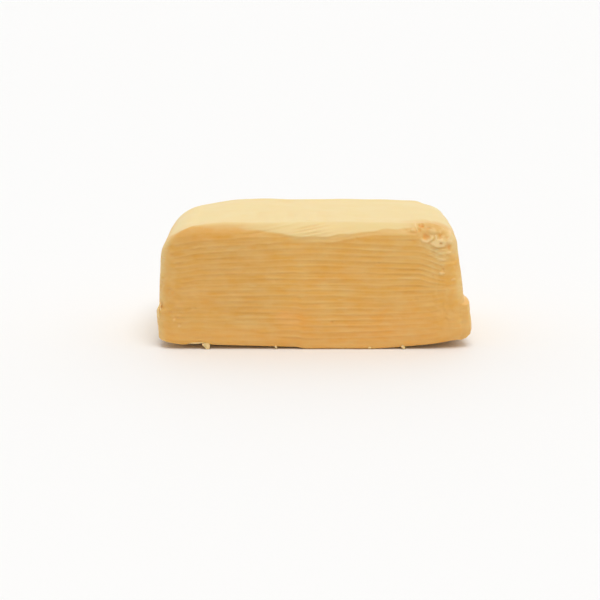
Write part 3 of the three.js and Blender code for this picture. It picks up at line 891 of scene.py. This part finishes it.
def paint(piece, name, values):
    """Stores a value for each point of a piece, which its material reads by name."""
    attribute = piece.data.attributes.new(name, "FLOAT", "POINT")
    attribute.data.foreach_set("value", np.clip(values, 0, 1).astype(np.float32))


# Knobs and, where the height is below 0, dips of the top edge: x, y, z, reach and height
KNOBS = (
    (40.0, 26.0, 43.4, 3.6, 0.5),
    (44.6, 24.0, 42.2, 3.4, -0.8),
    (47.6, 17.0, 40.0, 3.2, 0.2),
    (48.2, 3.0, 40.5, 6.0, 0.35),
    (48.5, -9.0, 40.0, 7.0, 0.5),
    (48.8, -20.0, 40.5, 6.0, 0.4),
    (-43.0, 16.0, 40.0, 5.0, 0.25),
)


def knobs(p):
    """Relief of the knobs along the top edge."""
    return sum(
        height * bell(np.linalg.norm(p - centre, axis=1), 0, reach)
        for *centre, reach, height in KNOBS
    )


def make_skin(material):
    """The block's skin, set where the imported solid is, and the shift that puts it there."""
    skin = Skin(Columns())
    p, rib = skin.points, skin.ribs
    n = normals_of(p, skin.faces)
    crushing, deep, torn = crushed(p, n)
    smears, warmth = patches(p, n)
    relief = swells(p) + ribs(p, n, rib) + scores(p, n) + lip(p, n) + STREAK_HEIGHT * streaks(p, n)
    relief += ledges(p, n) + creases(p, n) + rough_ends(p, n) + nicks(p, n) + knobs(p) + crushing
    points = p + n * relief[:, None]
    shift = np.array(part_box("butter_block")[1]) / MM - points.max(0)
    shift[2] = 0
    points += shift
    piece = make_object("butter_skin", points, skin.faces, material)
    # Paler butter, with painted light on the top, lip, edges and foot and painted highlights on the
    # ribs' crests
    paint(piece, "pale", (pale_and_painted_light(p, n, rib) + smears) * (1 - deep))
    # Darker patches, and painted shade in the grooves, the pits and towards the front's left end
    paint(piece, "dark_and_painted_shade", darkness_and_painted_shade(p, n, rib) + PIT_SHADE * deep)
    # Warmer patches, and painted shade in the pits' hollows
    paint(piece, "warm", warmth + PIT_WARM_SHADE * deep)
    # Torn butter, and the painted highlight on the lip's middle
    paint(piece, "torn", torn + lip_highlight(p, n))
    return piece, shift


# Torn scraps that hang on the block: three points of a bent strip, its half width, its half
# thickness and the way its width lies
SCRAPS = (
    ((-52.9, -29.0, 9.6), (-54.8, -29.8, 12.0), (-54.3, -30.0, 15.2), 1.5, 0.45, (0.4, 1, 0.2)),
    ((-53.0, -30.0, 12.6), (-54.3, -30.4, 14.4), (-54.0, -30.2, 16.6), 0.7, 0.35, (0.2, 1, 0)),
    ((-38.3, -31.6, 2.9), (-37.9, -32.15, 1.6), (-37.3, -32.2, 0.1), 1.1, 0.35, (1, 0, 0.2)),
    ((-39.4, -31.7, 2.2), (-38.7, -32.25, 1.7), (-38.4, -32.25, 0.9), 0.5, 0.25, (1, 0, 0)),
    ((-44.6, -31.7, 2.2), (-41.6, -32.15, 2.1), (-38.6, -32.1, 2.6), 0.28, 0.22, (0, 0, 1)),
    ((-14.0, -31.9, 1.3), (-13.6, -32.25, 0.9), (-13.4, -32.15, 0.3), 0.45, 0.3, (1, 0, 0)),
    ((18.6, -31.9, 1.0), (19.1, -32.25, 0.7), (19.5, -32.15, 0.2), 0.5, 0.35, (1, 0, 0)),
    ((30.2, -31.9, 1.2), (30.9, -32.25, 0.9), (31.3, -32.15, 0.2), 0.55, 0.4, (1, 0, 0)),
)
SCRAP_RINGS = 14
SCRAP_SIDES = 12
SCRAP_TAPER = {"start": 0.12, "span": 0.86}
SCRAP_WAVER = {"height": 0.16, "size": (0.7, 0.7, 0.7), "way": (0.5, -0.5, 0.7)}
SCRAP_LOWEST = 0.02


def scrap_mesh(start, middle, end, half_wide, half_thick, way):
    """Points and faces of one scrap, thickest near its start and thin at its end."""
    t = np.linspace(0, 1, SCRAP_RINGS)[:, None]
    path = (1 - t) ** 2 * start + 2 * t * (1 - t) * middle + t * t * end
    ahead = np.gradient(path, axis=0)
    ahead /= np.linalg.norm(ahead, axis=1, keepdims=True)
    thick_way = np.cross(ahead, way)
    thick_way /= np.linalg.norm(thick_way, axis=1, keepdims=True)
    wide_way = np.cross(thick_way, ahead)
    taper = np.sqrt(np.sin(math.pi * (SCRAP_TAPER["start"] + SCRAP_TAPER["span"] * t)))
    turn = np.linspace(0, math.tau, SCRAP_SIDES, endpoint=False)
    rings = path[:, None] + half_wide * (taper * wide_way)[:, None] * np.cos(turn)[None, :, None]
    rings = rings + half_thick * (taper * thick_way)[:, None] * np.sin(turn)[None, :, None]
    points = np.concatenate([rings.reshape(-1, 3), path[:1], path[-1:]])
    waver = SCRAP_WAVER["height"] * noise(points, SCRAP_WAVER["size"], seed=71)
    points += waver[:, None] * SCRAP_WAVER["way"]
    faces = []
    for ring in range(SCRAP_RINGS - 1):
        for side in range(SCRAP_SIDES):
            a, b = (ring * SCRAP_SIDES + k % SCRAP_SIDES for k in (side, side + 1))
            faces.append((a, b, b + SCRAP_SIDES, a + SCRAP_SIDES))
    first, last = SCRAP_RINGS * SCRAP_SIDES, SCRAP_RINGS * SCRAP_SIDES + 1
    top = (SCRAP_RINGS - 1) * SCRAP_SIDES
    for side in range(SCRAP_SIDES):
        after = (side + 1) % SCRAP_SIDES
        faces.append((after, side, first))
        faces.append((top + side, top + after, last))
    return points, faces


def make_scraps(material, shift):
    """All the scraps as one piece, of torn butter."""
    points, faces = [], []
    for start, middle, end, half_wide, half_thick, way in SCRAPS:
        bend = (np.array(point) for point in (start, middle, end))
        more, more_faces = scrap_mesh(*bend, half_wide, half_thick, way)
        faces += [tuple(i + len(points) for i in face) for face in more_faces]
        points += list(more)
    points = np.array(points) + shift
    points[:, 2] = np.maximum(points[:, 2], SCRAP_LOWEST)
    piece = make_object("butter_scraps", points, faces, material)
    paint(piece, "torn", np.ones(len(points)))
    for name in ("pale", "dark_and_painted_shade", "warm"):
        paint(piece, name, np.zeros(len(points)))
    return piece


def socket(node, name, value):
    """Sets the value of a node's own socket."""
    node.inputs[name].default_value = value


# Colours of the butter, linear: deep on its faces; pale on its lip and top, also used for painted
# light;
# darker, for painted shade and darker patches; warm in its patches and for the pits' painted shade;
# and that of its torn lumps and scraps, also used for the lip's painted highlight
DEEP = (0.825, 0.42, 0.06, 1)
PALE = (0.86, 0.67, 0.31, 1)
DARK_AND_SHADE = (0.655, 0.315, 0.048, 1)
WARM = (0.95, 0.38, 0.05, 1)
TORN = (0.97, 0.69, 0.33, 1)

# Noise in the butter: the size of its cells, their stretch along x, y and z, and its lowest and
# highest value. Streaks and clouds of pale butter, broad warm ones, roughness, and two bumps.
STREAKY = (1.1, (14, 14, 1), 0.0, 0.15)
CLOUDY = (3.8, (1.7, 1.7, 1), -0.04, 0.36)
BROAD = (9.0, (2, 1, 1), 0.0, 0.06)
ROUGHNESS = (3.0, (2, 2, 1), 0.44, 0.62)
GRAIN = (0.7, (1, 1, 1), 0, 1)
COMBED = (0.55, (18, 18, 1), 0, 1)
GRAIN_HEIGHT = 0.02
COMBED_HEIGHT = 0.06

# How fine the noise goes, and which part of its values is spread over the whole range
DETAIL = 4.0
SPREAD = (0.25, 0.75)

# What is the same all over the butter
WAXY = {
    "IOR": 1.46,
    "Subsurface Weight": 0.5,
    "Subsurface Radius": (0.9, 0.7, 0.4),
    "Subsurface Scale": 0.5 * MM,
}


class Nodes:
    """Adds nodes to a material and links them."""

    def __init__(self, material):
        material.use_nodes = True
        self.tree = material.node_tree
        self.shader = self.tree.nodes["Principled BSDF"]

    def add(self, kind, **values):
        """A new node with the given values."""
        node = self.tree.nodes.new(kind)
        for name, value in values.items():
            setattr(node, name, value)
        return node

    def link(self, output, target):
        self.tree.links.new(output, target)

    def attribute(self, name):
        """The values painted on the points under a name."""
        return self.add("ShaderNodeAttribute", attribute_name=name).outputs["Fac"]

    def mix(self, share, first, second):
        """A colour between first and second. Each is a colour or an output."""
        node = self.add("ShaderNodeMix", data_type="RGBA")
        for value, name in ((share, "Factor"), (first, "A"), (second, "B")):
            wanted = "VALUE" if name == "Factor" else "RGBA"
            target = next(i for i in node.inputs if i.name == name and i.type == wanted)
            if isinstance(value, bpy.types.NodeSocket):
                self.link(value, target)
            else:
                target.default_value = value
        return next(o for o in node.outputs if o.type == "RGBA")

    def texture(self, size, stretch, low, high):
        """Noise between low and high with cells of size mm, stretched along x, y and z."""
        place = self.add("ShaderNodeTexCoord").outputs["Object"]
        mapping = self.add("ShaderNodeMapping")
        socket(mapping, "Scale", [1 / (size * MM * s) for s in stretch])
        self.link(place, mapping.inputs["Vector"])
        noise_node = self.add("ShaderNodeTexNoise")
        socket(noise_node, "Scale", 1.0)
        socket(noise_node, "Detail", DETAIL)
        self.link(mapping.outputs["Vector"], noise_node.inputs["Vector"])
        spread = self.add("ShaderNodeMapRange")
        socket(spread, "From Min", SPREAD[0])
        socket(spread, "From Max", SPREAD[1])
        socket(spread, "To Min", low)
        socket(spread, "To Max", high)
        self.link(noise_node.outputs["Fac"], spread.inputs["Value"])
        return spread.outputs["Result"]

    def bump(self, height, distance, normal=None):
        """A bump of distance mm from the values of height, on top of normal."""
        node = self.add("ShaderNodeBump")
        socket(node, "Strength", 1.0)
        socket(node, "Distance", distance * MM)
        self.link(height, node.inputs["Height"])
        if normal is not None:
            self.link(normal, node.inputs["Normal"])
        return node.outputs["Normal"]


def make_butter():
    """Butter: soft, waxy and a little translucent."""
    material = bpy.data.materials.new("butter")
    nodes = Nodes(material)
    shader = nodes.shader
    # Besides the butter's own colours, the pale share carries painted light, the darker share painted
    # shade, the warm share the pits' painted shade and the torn share the lip's painted highlight
    colour = nodes.mix(nodes.attribute("pale"), DEEP, PALE)
    for name, other in (("dark_and_painted_shade", DARK_AND_SHADE), ("warm", WARM), ("torn", TORN)):
        colour = nodes.mix(nodes.attribute(name), colour, other)
    for texture, other in ((STREAKY, PALE), (CLOUDY, PALE), (BROAD, WARM)):
        colour = nodes.mix(nodes.texture(*texture), colour, other)
    nodes.link(colour, shader.inputs["Base Color"])
    nodes.link(nodes.texture(*ROUGHNESS), shader.inputs["Roughness"])
    grain = nodes.bump(nodes.texture(*GRAIN), GRAIN_HEIGHT)
    combed = nodes.bump(nodes.texture(*COMBED), COMBED_HEIGHT, grain)
    nodes.link(combed, shader.inputs["Normal"])
    for name, value in WAXY.items():
        socket(shader, name, value)
    return material


# The camera looks along +Y from 13.5 degrees above, at a point of the front's plane
CAMERA = {"aim": (-5.0, -HALF_Y, 17.85), "elevation": 13.5, "distance": 480.0, "pixels_a_mm": 2.885}
FRAME_PIXELS = 600
SENSOR = 36.0
CLIP = (0.01, 50)


def make_camera():
    data = bpy.data.cameras.new("camera")
    data.sensor_width = SENSOR
    data.lens = SENSOR * CAMERA["pixels_a_mm"] * CAMERA["distance"] / FRAME_PIXELS
    data.clip_start, data.clip_end = CLIP
    camera = bpy.data.objects.new("camera", data)
    tilt = math.radians(CAMERA["elevation"])
    away = np.array([0, -math.cos(tilt), math.sin(tilt)]) * CAMERA["distance"]
    camera.location = (np.array(CAMERA["aim"]) + away) * MM
    camera.rotation_euler = (QUARTER - tilt, 0, 0)
    bpy.context.scene.collection.objects.link(camera)
    bpy.context.scene.camera = camera


# A soft lamp, far off above the block, in front of it and a little to its right. Its strength is
# in watts on a square metre.
LAMP = {"tilt": 22.0, "right": 18.0, "spread": 38.0, "strength": 1.35}


def make_lamp():
    data = bpy.data.lights.new("lamp", "SUN")
    data.energy = LAMP["strength"]
    data.angle = math.radians(LAMP["spread"])
    lamp = bpy.data.objects.new("lamp", data)
    lamp.rotation_euler = (math.radians(LAMP["tilt"]), 0, math.radians(LAMP["right"]))
    bpy.context.scene.collection.objects.link(lamp)


FLOOR_REACH = 30000.0
FLOOR_LOOK = {"Base Color": (0.93, 0.925, 0.915, 1), "Roughness": 0.8}


def make_floor():
    material = bpy.data.materials.new("floor")
    material.use_nodes = True
    shader = material.node_tree.nodes["Principled BSDF"]
    for name, value in FLOOR_LOOK.items():
        socket(shader, name, value)
    corners = [(-1, -1, 0), (1, -1, 0), (1, 1, 0), (-1, 1, 0)]
    floor = make_object("floor", np.array(corners) * FLOOR_REACH, [(0, 1, 2, 3)], material)


# The studio is white all round, and brighter behind the block than in front of it
STUDIO = {"front": 0.31, "back": 1.01}


def make_world():
    world = bpy.data.worlds.new("studio")
    world.use_nodes = True
    tree = world.node_tree
    background = tree.nodes["Background"]
    socket(background, "Color", (1, 1, 1, 1))
    direction = tree.nodes.new("ShaderNodeTexCoord")
    axes = tree.nodes.new("ShaderNodeSeparateXYZ")
    spread = tree.nodes.new("ShaderNodeMapRange")
    socket(spread, "From Min", -1.0)
    socket(spread, "To Min", STUDIO["front"])
    socket(spread, "To Max", STUDIO["back"])
    tree.links.new(direction.outputs["Generated"], axes.inputs["Vector"])
    tree.links.new(axes.outputs["Y"], spread.inputs["Value"])
    tree.links.new(spread.outputs["Result"], background.inputs["Strength"])
    bpy.context.scene.world = world
    bpy.context.scene.view_settings.view_transform = "Standard"


make_camera()
make_world()
make_floor()
make_lamp()

butter = make_butter()
skin, shift = make_skin(butter)
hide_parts("butter_block")
scraps = make_scraps(butter, shift)
for piece in (skin, scraps):
    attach(piece, "root")
